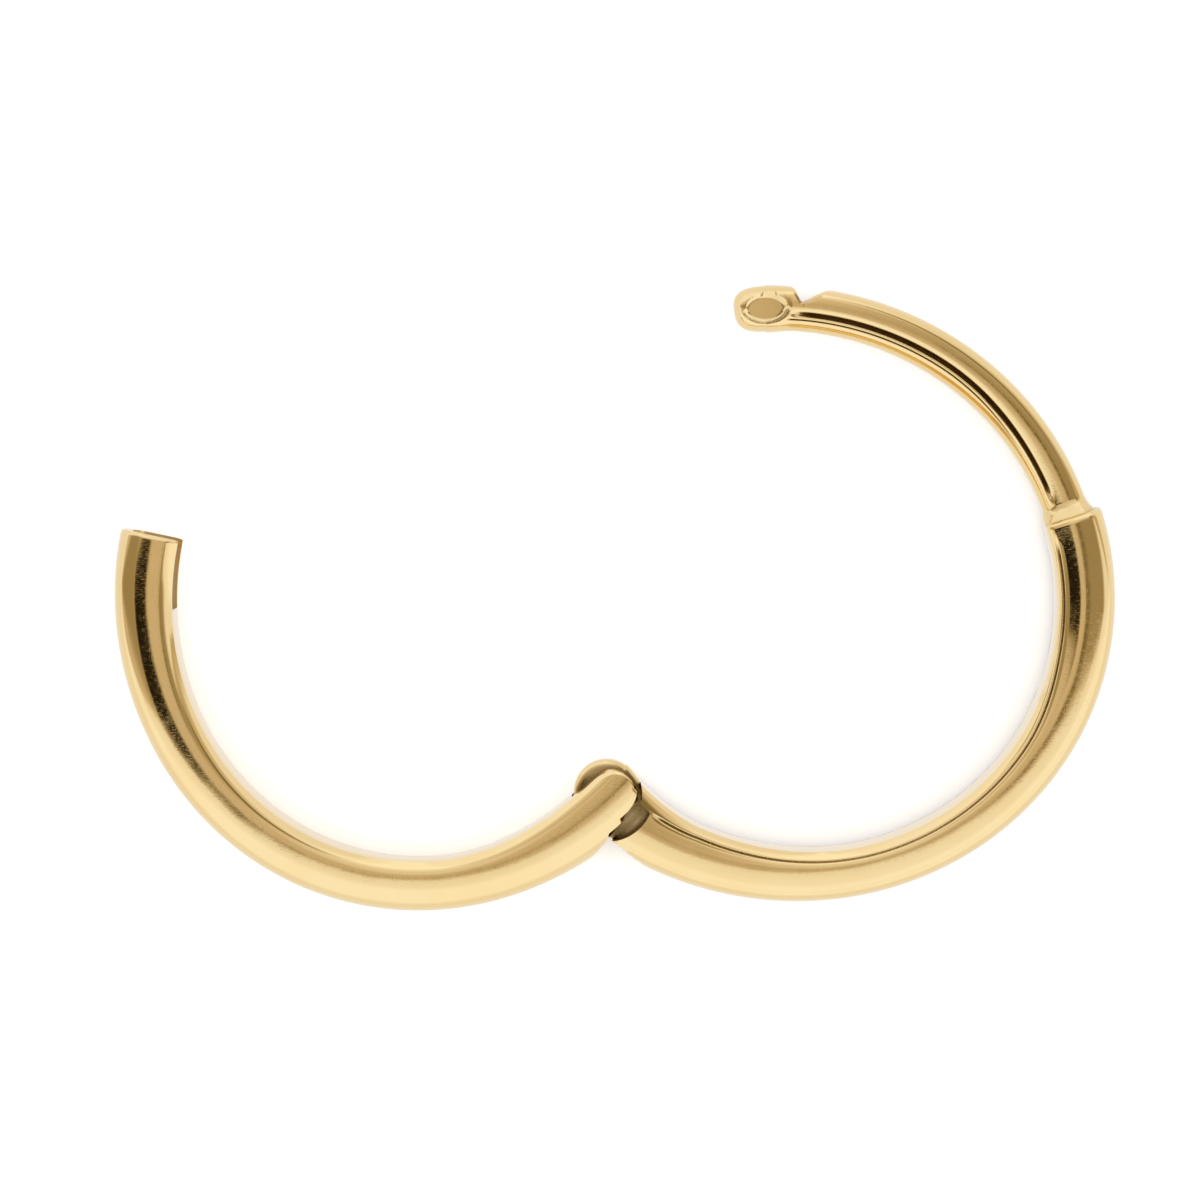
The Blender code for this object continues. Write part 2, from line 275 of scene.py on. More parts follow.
@dataclass(frozen=True)
class Hoop:
    """Sizes that both halves share, in millimetres and degrees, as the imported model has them."""

    oval: Oval = field(default_factory=Oval)
    width: float = 1.8
    dome_power: float = 2.4
    at_catch: float = 1.31
    at_front: float = 1.18
    at_hinge: float = 1.40
    at_back: float = 1.12
    at_shoulder: float = 1.34
    mouth: float = 86.7
    front: float = 188.0
    back: float = 290.0
    shoulder: float = 15.0
    open_angle: float = 82.6
    knuckle_radius: float = 0.73
    ear_radius: float = 0.53
    ear_shift: float = 0.13
    front_heel: float = 239.6
    back_heel: float = 230.0
    stop_gap: float = 0.09
    fork_edge: float = 0.08
    fork_fillet: float = 0.05
    tongue_width: float = 0.60
    ear_gap: float = 0.06
    pin_radius: float = 0.30
    pin_gap: float = 0.05
    pin_cover: float = 0.20
    post_thickness: float = 1.00
    post_width: float = 1.20
    post_sink: float = 0.27
    post_dome: float = 0.26
    tip: float = 100.8
    tip_sink: float = 0.16
    socket_gap: float = 0.05

    @property
    def middle(self) -> float:
        """Height of the band's middle plane."""
        return self.width / 2

    def band_depth(self, angle: Array) -> Array:
        """Depth of the inner face, eased from one named place to the next.

        Args:
            angle: ring angles.

        Returns:
            The depth at each angle.
        """
        places = [self.mouth, self.front, self.oval.hinge_angle, self.back, FULL_TURN + self.shoulder]
        depths = [self.at_catch, self.at_front, self.at_hinge, self.at_back, self.at_shoulder]
        result = np.full_like(angle, depths[0])
        for start, end, first, last in zip(places, places[1:], depths, depths[1:]):
            inside = ease((angle - start) / (end - start))
            result = np.where(angle > start, first + (last - first) * inside, result)
        return result

    def post_depth(self, angle: Array) -> Array:
        """Depth of the post's crown, from the shoulder to the tip."""
        share = (angle - self.shoulder) / (self.tip - self.shoulder)
        return self.post_sink + (self.tip_sink - self.post_sink) * np.clip(share, 0.0, 1.0)

    def ear_centre(self) -> Array:
        """Plan place of the middle of the ears' round ends."""
        return -self.oval.inward(self.oval.hinge_angle) * self.ear_shift

    def ear_heel(self) -> float:
        """Distance from the hinge axis to the flat that touches the ears' round ends."""
        facing = np.radians(self.front_heel)
        return float(self.ear_radius + self.ear_centre() @ np.array([np.cos(facing), np.sin(facing)]))

    def fork_radius(self) -> float:
        """Radius of the round clearances about the hinge axis.

        Returns:
            The radius that clears both heels from open to closed.
        """
        spread = radians(self.front_heel + self.open_angle - self.back_heel)
        ear, knuckle = self.ear_heel(), self.knuckle_radius
        reach = (ear + self.stop_gap - np.cos(spread) * knuckle) / np.sin(spread)
        other = (knuckle + self.stop_gap - np.cos(spread) * ear) / np.sin(spread)
        return float(max(np.hypot(knuckle, reach), np.hypot(ear, other)))

    def fork(self, plan: Array, near: float, limit: float) -> Array:
        """Field of a clearance about the axis, wide on the outer side and close on the inner side.

        Args:
            plan: plan places.
            near: radius of the clearance on the inner side.
            limit: how far the wide part reaches inwards.

        Returns:
            The field at each place.
        """
        distance = np.hypot(plan[..., 0], plan[..., 1])
        inward = plan @ self.oval.inward(self.oval.hinge_angle)
        wide = round_cut(distance - self.fork_radius(), inward - limit, self.fork_edge)
        return round_join(distance - near, wide, self.fork_fillet)

    def heel(self, plan: Array, facing: float, distance: float) -> Array:
        """Field of everything on the hinge's side of a flat that stands off the axis.

        Args:
            plan: plan places.
            facing: direction that the flat faces, in degrees.
            distance: distance of the flat from the hinge axis.

        Returns:
            The field at each place.
        """
        turned = np.radians(facing)
        return plan[..., 0] * np.cos(turned) + plan[..., 1] * np.sin(turned) - distance


class Metal:
    """Turns fields and outlines into smooth meshes."""

    def __init__(self, name: str) -> None:
        """Keep the name of the piece that is made."""
        self.name = name

    def mesh_object(self, points: Array, faces: list[tuple[int, ...]], name: str = "") -> bpy.types.Object:
        """Make an object from points in millimetres.

        Args:
            points: one row of x, y and z for each point.
            faces: corner numbers of each face.
            name: name of the object, or the piece's own where it is empty.

        Returns:
            The new object.
        """
        mesh = bpy.data.meshes.new(name or self.name)
        mesh.from_pydata((np.asarray(points) * MILLIMETRE).tolist(), [], faces)
        mesh.validate()
        mesh.shade_smooth()
        item = bpy.data.objects.new(name or self.name, mesh)
        bpy.context.scene.collection.objects.link(item)
        return item

    def tube(self, rings: Array, name: str = "") -> bpy.types.Object:
        """Skin rings of points into a closed solid.

        Args:
            rings: array of rings by points by three coordinates.
            name: name of the object.

        Returns:
            The new object.
        """
        count, around = rings.shape[:2]
        faces = []
        for ring in range(count - 1):
            for spot in range(around):
                follow = (spot + 1) % around
                faces.append((ring * around + spot, ring * around + follow,
                              (ring + 1) * around + follow, (ring + 1) * around + spot))
        faces.append(tuple(reversed(range(around))))
        faces.append(tuple(range((count - 1) * around, count * around)))
        return self.outward(self.mesh_object(rings.reshape(-1, 3), faces, name))

    def outward(self, item: bpy.types.Object) -> bpy.types.Object:
        """Turn a closed mesh so that its faces point out.

        Args:
            item: object of the mesh.

        Returns:
            The same object.
        """
        mesh = item.data
        points = np.zeros(len(mesh.vertices) * 3)
        mesh.vertices.foreach_get("co", points)
        points = points.reshape(-1, 3) - points.reshape(-1, 3).mean(axis=0)
        mesh.calc_loop_triangles()
        corners = np.zeros(len(mesh.loop_triangles) * 3, dtype=np.int64)
        mesh.loop_triangles.foreach_get("vertices", corners)
        first, second, third = (points[corners.reshape(-1, 3)[:, index]] for index in range(3))
        if np.einsum("ij,ij->", first, np.cross(second, third)) < 0:
            mesh.flip_normals()
        return item

    def sweep(self, hoop: Hoop, angles: Array, knots: list[Array], solid: Field) -> bpy.types.Object:
        """Skin a field along the ring, with points gathered at the grooves of its flanks.

        Args:
            hoop: sizes of the hoop.
            angles: ring angles of the stations.
            knots: depths along the flank at each station, from the dome to the bevel, with a groove in
                every second gap.
            solid: field of ring angles, depths and heights over the surface.

        Returns:
            The skinned solid.
        """
        for index in range(1, len(knots)):
            knots[index] = np.maximum(knots[index], knots[index - 1] + KNOT_GAP)
        parts = []
        for index, (first, last) in enumerate(zip(knots, knots[1:])):
            share = np.linspace(0.0, 1.0, GROOVE_POINTS if index % 2 else FLANK_POINTS, endpoint=False)
            parts.append(first[:, None] + (last - first)[:, None] * share[None, :])
        flank = np.concatenate([*parts, knots[-1][:, None]], axis=1)
        count = flank.shape[1]
        outside = np.radians(np.linspace(-90.0, -270.0, DOME_RAYS + 2)[1:-1])
        inside = np.radians(np.linspace(90.0, -90.0, BEVEL_RAYS + 2)[1:-1])
        origin = np.concatenate([np.repeat(knots[0][:, None], DOME_RAYS, axis=1), flank,
                                 np.repeat(knots[-1][:, None], BEVEL_RAYS, axis=1), flank[:, ::-1]], axis=1)
        along = np.concatenate([np.cos(outside), np.zeros(count), np.cos(inside), np.zeros(count)])
        up = np.concatenate([np.sin(outside), np.ones(count), np.sin(inside), -np.ones(count)])
        station = np.broadcast_to(angles[:, None], origin.shape)
        near, far = np.zeros(origin.shape), np.full(origin.shape, SWEEP_REACH)
        for _ in range(HALVINGS):
            middle = (near + far) / 2
            within = solid(station, origin + along * middle, hoop.middle + up * middle) < 0
            near, far = np.where(within, middle, near), np.where(within, far, middle)
        depth, height = origin + along * near, hoop.middle + up * near
        return self.tube(np.concatenate([hoop.oval.plan(station, depth), height[..., None]], axis=-1))

    def plate(self, name: str, shape: Callable[[Array], Array], low: float, high: float, rim: float = 0.0
              ) -> bpy.types.Object:
        """Flat plate whose outline is found on rays from the hinge axis, with rounded rims.

        Args:
            name: name of the object.
            shape: field of plan places.
            low: height of its underside.
            high: height of its top.
            rim: radius of its rims.

        Returns:
            The new object.
        """
        steps = np.linspace(0.0, np.pi / 2, RIM_STEPS) if rim > 0 else np.array([np.pi / 2])
        insets, lifts = rim * (1 - np.sin(steps)), rim * (1 - np.cos(steps))
        levels = list(zip(insets, low + lifts)) + list(zip(insets[::-1], high - lifts[::-1]))
        turns = np.linspace(0.0, 2 * np.pi, PLATE_RAYS, endpoint=False)
        way = np.stack([np.cos(turns), np.sin(turns)], axis=-1)
        rings = []
        for inset, level in levels:
            near, far = np.zeros(PLATE_RAYS), np.full(PLATE_RAYS, PLATE_REACH)
            for _ in range(HALVINGS):
                middle = (near + far) / 2
                inside = shape(way * middle[:, None]) + inset < 0
                near, far = np.where(inside, middle, near), np.where(inside, far, middle)
            rings.append(np.concatenate([way * near[:, None], np.full((PLATE_RAYS, 1), level)], axis=1))
        return self.tube(np.array(rings), name)

    def drum(self, name: str, radius: float, low: float, high: float, rim: float = 0.0) -> bpy.types.Object:
        """Drum about the hinge axis."""
        return self.plate(name, lambda plan: np.hypot(plan[..., 0], plan[..., 1]) - radius, low, high, rim)

    def change(self, target: bpy.types.Object, tool: bpy.types.Object, operation: Operation) -> None:
        """Cut a tool from an object, or join it on, and throw the tool away.

        Args:
            target: object that is changed.
            tool: closed mesh that is used up.
            operation: what the tool does.
        """
        step = target.modifiers.new(tool.name, "BOOLEAN")
        step.operation, step.solver, step.object = operation.value, "EXACT", tool
        bpy.context.view_layer.update()
        made = bpy.data.meshes.new_from_object(target.evaluated_get(bpy.context.evaluated_depsgraph_get()))
        target.modifiers.clear()
        made.shade_smooth()
        made.set_sharp_from_angle(angle=radians(SHARP_ANGLE))
        target.data = made
        bpy.data.objects.remove(tool)


class Link:
    """A shader socket that takes part in sums, products and differences."""

    def __init__(self, graph: "Graph", socket: bpy.types.NodeSocket) -> None:
        """Wrap a socket of a graph."""
        self.graph, self.socket = graph, socket

    def _math(self, operation: str, *values: "Link | float") -> "Link":
        """Result of a Math node on values."""
        return self.graph.node("ShaderNodeMath", {"operation": operation}, dict(enumerate(values)))

    def __add__(self, other: "Link | float") -> "Link":
        """Sum."""
        return self._math("ADD", self, other)

    __radd__ = __add__

    def __mul__(self, other: "Link | float") -> "Link":
        """Product."""
        return self._math("MULTIPLY", self, other)

    __rmul__ = __mul__

    def __sub__(self, other: "Link | float") -> "Link":
        """Difference."""
        return self._math("SUBTRACT", self, other)

    def __rsub__(self, other: "Link | float") -> "Link":
        """Difference the other way round."""
        return self._math("SUBTRACT", other, self)

    def __abs__(self) -> "Link":
        """Size without sign."""
        return self._math("ABSOLUTE", self)

    def at_least(self, floor: float) -> "Link":
        """This value, or a floor where it is lower."""
        return self._math("MAXIMUM", self, floor)

    def leaning(self, upright: "Link") -> "Link":
        """Angle in degrees by which a direction leans, from this part of it and its upright part."""
        return self._math("ARCTAN2", self, upright) * degrees(1.0)

    def step(self, low: float, high: float) -> "Link":
        """Smooth run from 0 to 1 as this value goes from low to high."""
        return self.graph.node("ShaderNodeMapRange", {"interpolation_type": "SMOOTHSTEP", "clamp": True},
                               {"Value": self, "From Min": low, "From Max": high})


class Graph:
    """Node tree of a material or a world."""

    def __init__(self, owner: bpy.types.Material | bpy.types.World) -> None:
        """Empty the owner's node tree and keep it.

        Args:
            owner: the material or world that the nodes belong to.
        """
        owner.use_nodes = True
        self.tree = owner.node_tree
        self.tree.nodes.clear()

    def node(self, kind: str, settings: dict[str, object] | None = None,
             values: dict[str | int, object] | None = None, output: str | int = 0) -> Link:
        """Add a node.

        Args:
            kind: the node's type.
            settings: properties that are set first; stops lists a colour ramp's places and colours.
            values: value or link of each input, by name or number.
            output: the output that is returned, by name or number.

        Returns:
            The link that the output gives.
        """
        made = self.tree.nodes.new(kind)
        for name, setting in (settings or {}).items():
            if name == "stops":
                self._fill_ramp(made.color_ramp, setting)
            else:
                setattr(made, name, setting)
        for name, value in (values or {}).items():
            if isinstance(value, Link):
                self.tree.links.new(value.socket, made.inputs[name])
            else:
                made.inputs[name].default_value = value
        return Link(self, made.outputs[output]) if made.outputs else Link(self, made.inputs[0])

    @staticmethod
    def _fill_ramp(ramp: bpy.types.ColorRamp, stops: list[tuple[float, tuple[float, ...]]]) -> None:
        """Set a colour ramp's stops.

        Args:
            ramp: the ramp.
            stops: place and colour of each stop.
        """
        while len(ramp.elements) < len(stops):
            ramp.elements.new(1.0)
        for element, (place, colour) in zip(ramp.elements, stops):
            element.position, element.color = place, colour

    def blend(self, share: Link | float, first: object, second: object) -> Link:
        """Colour between two colours.

        Args:
            share: how much of the second colour.
            first: first colour or link.
            second: second colour or link.

        Returns:
            The mixed colour.
        """
        # A Mix node in colour mode has its colour sockets at numbers 6 and 7, and its colour result at 2.
        return self.node("ShaderNodeMix", {"data_type": "RGBA"}, {0: share, 6: first, 7: second}, 2)

    def place(self) -> Link:
        """Places on the object, in millimetres."""
        return self.stretched(self.node("ShaderNodeTexCoord", {}, {}, "Object"), (1 / MILLIMETRE,) * 3)

    def noise(self, place: Link, scale: float, detail: float = 2.0, roughness: float = 0.5) -> Link:
        """Value of a noise texture.

        Args:
            place: coordinates.
            scale: waves for each unit of them.
            detail: octaves.
            roughness: strength of the finer octaves.

        Returns:
            The value, from 0 to 1.
        """
        return self.node("ShaderNodeTexNoise", {}, {"Vector": place, "Scale": scale, "Detail": detail,
                                                    "Roughness": roughness})

    def stretched(self, place: Link, scale: Triple, turn: Triple = (0.0, 0.0, 0.0)) -> Link:
        """Coordinates turned and stretched.

        Args:
            place: coordinates.
            scale: stretch along each axis.
            turn: turn about each axis, in degrees.

        Returns:
            The new coordinates.
        """
        return self.node("ShaderNodeMapping", {}, {"Vector": place, "Scale": scale,
                                                   "Rotation": tuple(radians(angle) for angle in turn)})


@dataclass(frozen=True)
class PolishedGold:
    """Hand polished gold: soft waves, fine hairlines, a thin haze of handling marks, and painted shade that
    darkens its crevices.
    """

    name: str
    slot: Slot
    colour: Triple = (0.93, 0.73, 0.39)
    deep_colour: Triple = (0.90, 0.68, 0.32)
    patch_waves: float = 0.55
    patch_edge: Edge = (0.35, 0.75)
    patch_share: float = 0.5
    cloud_waves: float = 2.6
    cloud_edge: Edge = (0.45, 0.8)
    line_stretch: Triple = (9.0, 60.0, 9.0)
    line_turn: Triple = (0.0, 0.0, 31.0)
    line_edge: Edge = (0.58, 0.72)
    line_relief: Edge = (0.5, 0.8)
    cross_stretch: Triple = (55.0, 7.0, 12.0)
    cross_turn: Triple = (8.0, 0.0, -22.0)
    cross_relief: Edge = (0.55, 0.8)
    soft_waves: float = 0.9
    pit_edge: Edge = (0.02, 0.06)
    roughness: float = 0.035
    haze: float = 0.05
    line_haze: float = 0.03
    pit_haze: float = 0.08
    wave: float = 0.0025
    hairline: float = 0.00012
    pit_depth: float = 0.0003
    pit_count: float = 7.0
    # Painted shade: reach, edges, strength and near black colour of the darkening that ambient occlusion
    # finds in crevices, pockets and grooves, with the roughness raised there
    crevice: float = 0.26
    own_walls: bool = False
    patchy: float = 0.15
    crevice_edge: Edge = (0.40, 0.92)
    painted_crevice_shade: float = 0.97
    crevice_haze: float = 0.25
    painted_shade_colour: Triple = (0.10, 0.052, 0.010)

    def make(self) -> bpy.types.Material:
        """Build the material.

        Returns:
            The finished material.
        """
        material = bpy.data.materials.new(self.name)
        graph = Graph(material)
        place = graph.place()
        patches = graph.noise(place, self.patch_waves, 3.0)
        cloud = graph.noise(place, self.cloud_waves, 4.0, 0.6)
        lines = graph.noise(graph.stretched(place, self.line_stretch, self.line_turn), 1.0, 3.0, 0.6)
        crossed = graph.noise(graph.stretched(place, self.cross_stretch, self.cross_turn), 1.0, 3.0, 0.6)
        waves = graph.noise(place, self.soft_waves, 1.0)
        pits = graph.node("ShaderNodeTexVoronoi", {}, {"Vector": place, "Scale": self.pit_count})
        pit_mask = 1 - pits.step(*self.pit_edge)
        share = patches.step(*self.patch_edge) * self.patch_share
        tint = graph.blend(share, (*self.colour, 1.0), (*self.deep_colour, 1.0))
        rough = (self.roughness + cloud.step(*self.cloud_edge) * self.haze
                 + lines.step(*self.line_edge) * self.line_haze + pit_mask * self.pit_haze)
        scratches = lines.step(*self.line_relief) + crossed.step(*self.cross_relief)
        height = waves * self.wave + scratches * self.hairline - pit_mask * self.pit_depth
        # Painted shade: where ambient occlusion finds walls close by, the colour is blended towards near
        # black and the roughness raised
        open_air = graph.node("ShaderNodeAmbientOcclusion", {"samples": 2, "only_local": self.own_walls}, {
            "Distance": self.crevice * MILLIMETRE}, "AO")
        painted_crevice_shade = 1 - (open_air + (cloud - 0.5) * self.patchy).step(*self.crevice_edge)
        tint = graph.blend(painted_crevice_shade * self.painted_crevice_shade, tint, (*self.painted_shade_colour, 1.0))
        rough = rough + painted_crevice_shade * self.crevice_haze
        bump = graph.node("ShaderNodeBump", {}, {"Height": height, "Distance": MILLIMETRE, "Strength": 1.0})
        shader = graph.node("ShaderNodeBsdfPrincipled", {}, {
            "Base Color": tint, "Metallic": 1.0, "Roughness": rough, "Normal": bump})
        graph.node("ShaderNodeOutputMaterial", {}, {"Surface": shader})
        return material


def finish_piece(item: bpy.types.Object, finish: PolishedGold, body: str, node: str) -> None:
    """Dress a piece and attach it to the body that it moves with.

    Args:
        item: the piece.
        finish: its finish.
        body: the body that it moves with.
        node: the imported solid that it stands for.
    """
    material = bpy.data.materials.get(finish.name) or finish.make()
    item.data.materials.clear()
    item.data.materials.append(material)
    for face in item.data.polygons:
        face.material_index = 0
    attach(item, body)
    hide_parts(node)
    LOG.info("%s rides on %s, %d faces", item.name, body, len(item.data.polygons))


@dataclass(frozen=True)
class Line:
    """Fine groove along a flank: its depth into the metal, its half width and where it runs."""

    sink: float
    half_width: float
    start: float
    end: float
    fade: float = 2.0

    @property
    def reach(self) -> float:
        """How far from its middle the groove takes close points."""
        return self.half_width * KNOT_SPREAD

    def at(self, angle: Array, offset: Array) -> Array:
        """Depth of the groove at ring angles and distances from its middle."""
        here = ease((angle - self.start) / self.fade) * ease((self.end - angle) / self.fade)
        return self.sink * here * np.exp(-((offset / self.half_width) ** 2))


@dataclass(frozen=True)
class BackHalf:
    """Tongue, thick band, shoulder, post and notched tip.

    Lengths are in millimetres and angles in degrees.
    """

    hoop: Hoop
    band_profile: Profile = Profile(half=0.9, rise=0.42, crest=(0.56, 0.80), fall=(0.045, 0.125))
    post_profile: Profile = Profile(half=0.6, rise=0.26, bulge=0.03, crest=(0.36, 0.36), fall=(0.12, 0.12),
                                    soft=0.2, bevel_run=0.24, bevel_drop=0.26, bevel_edge=0.06)
    edge: float = 0.03
    # Inner bevel, which widens into the hinge and narrows at the shoulder
    gusset_span: float = 21.6
    gusset_power: float = 1.5
    gusset_widening: float = 0.20
    bevel_narrowing: float = 0.10
    narrowing_start: float = 325.0
    narrowing_span: float = 25.0
    # Grooves and fine lines along the flanks
    bevel_line: Line = Line(0.048, 0.026, 238.0, 372.5, 4.0)
    arc_line: Line = Line(0.022, 0.014, 318.0, 373.0, 8.0)
    arc_gap: float = 0.08
    post_groove: Line = Line(0.12, 0.044, 378.5, 450.0, 5.0)
    post_line: Line = Line(0.040, 0.015, 376.5, 451.0, 2.0)
    groove_depth: float = 0.625
    line_depth: float = 0.755
    groove_drift: float = 0.12
    drift_start: float = 417.0
    drift_span: float = 36.0
    # Step from the band to the post
    shoulder_slope: float = 0.27
    shoulder_fillet: float = 0.10
    shoulder_edge: float = 0.09
    post_root: float = 1.0
    # Tip, its oval facet and the line round the facet
    tip_start: float = 88.6
    tip_power: float = 2.8
    tip_width: float = 1.24
    tip_swell: float = 0.03
    tip_fillet: float = 0.10
    facet_height: float = 0.545
    facet_edge: float = 0.025
    facet_clear: float = 0.04
    facet_limit: float = 1.20
    facet_slope: float = 0.45
    facet_run: float = 0.57
    facet_reach: float = 0.34
    facet_back: float = 0.02
    outline_sink: float = 0.09
    outline_spread: float = 0.12
    outline_lead: float = 0.02
    outline_fade: float = 0.10
    # Notch behind the tip
    notch: float = 87.3
    notch_depth: float = 0.36
    notch_steep: float = 0.24
    notch_ramp: float = 0.62
    notch_fillet: float = 0.05
    notch_lip: float = 0.06
    # Room for the ears, and the tongue between them
    ear_room: float = 0.80
    pocket_limit: float = 0.30
    tongue_round: float = 0.14
    tongue_blend: float = 0.08
    tongue_inset: float = 0.03
    tongue_root: float = 0.20
    # Where the points of the mesh lie
    flank_start: float = 0.36
    inner_margin: float = 0.08
    post_start: float = 0.22
    post_end: float = 0.91
    notch_margin: float = 0.12
    swap_lead: float = 0.4
    swap_span: float = 1.2
    root_skip: float = 4.0
    tip_skip: float = 0.01
    station_step: float = 0.8

    def inner(self, angle: Array) -> Array:
        """Depth of the inner face, carried out to the knuckle at the hinge.

        Args:
            angle: ring angles.

        Returns:
            The depth at each angle.
        """
        hoop, start = self.hoop, self.hoop.oval.hinge_angle
        share = np.clip((start + self.gusset_span - angle) / self.gusset_span, 0.0, 1.0)
        extra = hoop.oval.hinge_depth + hoop.knuckle_radius - hoop.at_hinge
        return hoop.band_depth(angle) + extra * share**self.gusset_power

    def widening(self, angle: Array) -> Array:
        """How much wider than usual the inner bevel is, wide at the hinge and narrow at the shoulder.

        Args:
            angle: ring angles.

        Returns:
            The extra width at each angle.
        """
        end = self.hoop.oval.hinge_angle + self.gusset_span
        share = np.clip((end - angle) / self.gusset_span, 0.0, 1.0)
        narrow = self.bevel_narrowing * ease((angle - self.narrowing_start) / self.narrowing_span)
        return self.gusset_widening * share - narrow

    def band(self, angle: Array, depth: Array, height: Array) -> Array:
        """Field of the thick band, open ended at the shoulder.

        Args:
            angle: ring angles.
            depth: depths under the oval.
            height: heights over the middle plane.

        Returns:
            The field at each place.
        """
        hoop, profile, inner = self.hoop, self.band_profile, self.inner(angle)
        widen = self.widening(angle)
        rim = inner - profile.bevel_run - widen
        groove = self.bevel_line.at(angle, depth - rim)
        groove = groove + self.arc_line.at(angle, depth - rim - self.arc_gap)
        body = profile.solid(depth, height, inner, groove, widen)
        heel = hoop.heel(hoop.oval.plan(angle, depth), hoop.back_heel, hoop.knuckle_radius)
        return round_cut(body, heel, self.edge)

    def drift(self, angle: Array) -> Array:
        """How far the post's grooves drift inwards on the way to the shoulder."""
        return self.groove_drift * ease((self.drift_start - angle) / self.drift_span)

    def post(self, angle: Array, depth: Array, height: Array) -> Array:
        """Field of the post and its rounded tip.

        Args:
            angle: ring angles.
            depth: depths under the oval.
            height: heights over the middle plane.

        Returns:
            The field at each place.
        """
        hoop = self.hoop
        turned = angle - FULL_TURN
        across = depth - hoop.post_depth(turned)
        drift = self.drift(angle)
        groove = (self.post_groove.at(angle, across - self.groove_depth - drift)
                  + self.post_line.at(angle, across - self.line_depth - drift))
        bar = self.post_profile.solid(across, height, hoop.post_thickness, groove)
        middle = (self.tip_start + hoop.tip) / 2
        long = hoop.oval.run(np.array(hoop.tip), middle)
        run = hoop.oval.run(turned, middle)
        bar = round_cut(bar, run, self.tip_fillet)
        thick, wide = hoop.post_thickness / 2, self.tip_width / 2
        low = (across - thick - self.tip_swell / 2) / (thick + self.tip_swell / 2)
        level = (np.abs(run / long) ** self.tip_power + np.abs(low) ** self.tip_power
                 + np.abs(height / wide) ** self.tip_power) ** (1 / self.tip_power)
        metal = round_join(bar, (level - 1) * thick, self.tip_fillet)
        facet = np.hypot((run + self.facet_back) / self.facet_run, (across - thick) / self.facet_reach)
        below = ease((across - thick + self.outline_lead) / self.outline_fade)
        outline = self.outline_sink * np.exp(-(((facet - 1) / self.outline_spread) ** 2)) * below
        roof = wide + self.facet_clear
        sunk = (roof - self.facet_height) * ease((self.facet_limit - facet) / self.facet_slope)
        return round_cut(metal, np.abs(height) - roof + sunk + outline, self.facet_edge)

    def solid(self, angle: Array, depth: Array, height: Array) -> Array:
        """Field of the whole casting but for its tongue.

        Args:
            angle: ring angles.
            depth: depths under the oval.
            height: heights over the surface.

        Returns:
            The field at each place.
        """
        hoop, lift = self.hoop, height - self.hoop.middle
        band, post = self.band(angle, depth, lift), self.post(angle, depth, lift)
        recess = hoop.width / 2 - hoop.post_width / 2
        run = hoop.oval.run(angle, FULL_TURN + hoop.shoulder)
        slope = run - self.shoulder_slope * (1 - np.clip(post / recess, 0.0, 1.0))
        band = round_cut(band, slope / np.sqrt(2.0), self.shoulder_edge)
        post = np.where(run > -self.post_root, post, 1.0)
        metal = round_join(band, post, self.shoulder_fillet)
        along = hoop.oval.run(angle - FULL_TURN, self.notch)
        deep = self.notch_depth
        rise = float(hoop.post_depth(np.array(self.notch))) + deep - depth
        steep = (rise * self.notch_steep - along * deep) / np.hypot(deep, self.notch_steep)
        ramp = (rise * self.notch_ramp + along * deep) / np.hypot(deep, self.notch_ramp)
        return round_cut(metal, round_join(steep, ramp, self.notch_fillet), self.notch_lip)

    def tongue(self, plan: Array) -> Array:
        """Field of the outline of the tongue and its knuckle.

        Args:
            plan: plan places.

        Returns:
            The field at each place.
        """
        hoop = self.hoop
        distance = np.hypot(plan[..., 0], plan[..., 1])
        angle, depth = hoop.oval.unroll(plan)
        inner = self.inner(np.maximum(angle, hoop.oval.hinge_angle))
        band = np.maximum(depth - inner, self.tongue_inset - depth)
        band = np.maximum(band, -hoop.oval.run(angle, hoop.oval.hinge_angle))
        shape = round_join(distance - hoop.knuckle_radius, band, self.tongue_blend)
        shape = np.maximum(shape, hoop.heel(plan, hoop.back_heel, hoop.knuckle_radius))
        return np.maximum(shape, distance - hoop.fork_radius() - self.tongue_root)

    def knots(self, angle: Array) -> list[Array]:
        """Depths between which the flank's points are spread, with the grooves in every second gap.

        Args:
            angle: ring angles of the stations.

        Returns:
            The depths at each station.
        """
        hoop, profile = self.hoop, self.band_profile
        rim = self.inner(angle) - profile.bevel_run - self.widening(angle)
        wide, fine = self.bevel_line.reach, self.arc_line.reach
        band = [np.full_like(angle, self.flank_start), rim - wide, rim + wide, rim + self.arc_gap - fine,
                rim + self.arc_gap + fine, self.inner(angle) - self.inner_margin]
        crown = hoop.post_depth(angle - FULL_TURN)
        wide, fine = self.post_groove.reach, self.post_line.reach
        along = hoop.oval.run(angle - FULL_TURN, self.notch)
        bottom = self.notch_depth * (1 - np.maximum(along / self.notch_steep, -along / self.notch_ramp))
        drifted = crown + self.drift(angle)
        groove, line = drifted + self.groove_depth, drifted + self.line_depth
        first = crown + np.maximum(bottom + self.notch_margin, self.post_start)
        post = [first, groove - wide, groove + wide, line - fine, line + fine, crown + self.post_end]
        swap = ease((angle - FULL_TURN - hoop.shoulder + self.swap_lead) / self.swap_span)
        depths = [before * (1 - swap) + after * swap for before, after in zip(band, post)]
        middle = (self.tip_start + hoop.tip) / 2
        long = hoop.oval.run(np.array(hoop.tip), middle)
        run = np.clip(hoop.oval.run(angle - FULL_TURN, middle) / long, 0.0, 1.0)
        full = np.maximum(1 - run**self.tip_power, 0.0) ** (1 / self.tip_power)
        centre = crown + hoop.post_thickness / 2
        return [centre + (depth - centre) * np.where(run > 0, full, 1.0) for depth in depths]

    def build(self) -> list[bpy.types.Object]:
        """Make the casting.

        Returns:
            Its piece.
        """
        hoop, start = self.hoop, self.hoop.oval.hinge_angle
        shoulder, notch, tip = (FULL_TURN + spot for spot in (hoop.shoulder, self.notch, hoop.tip))
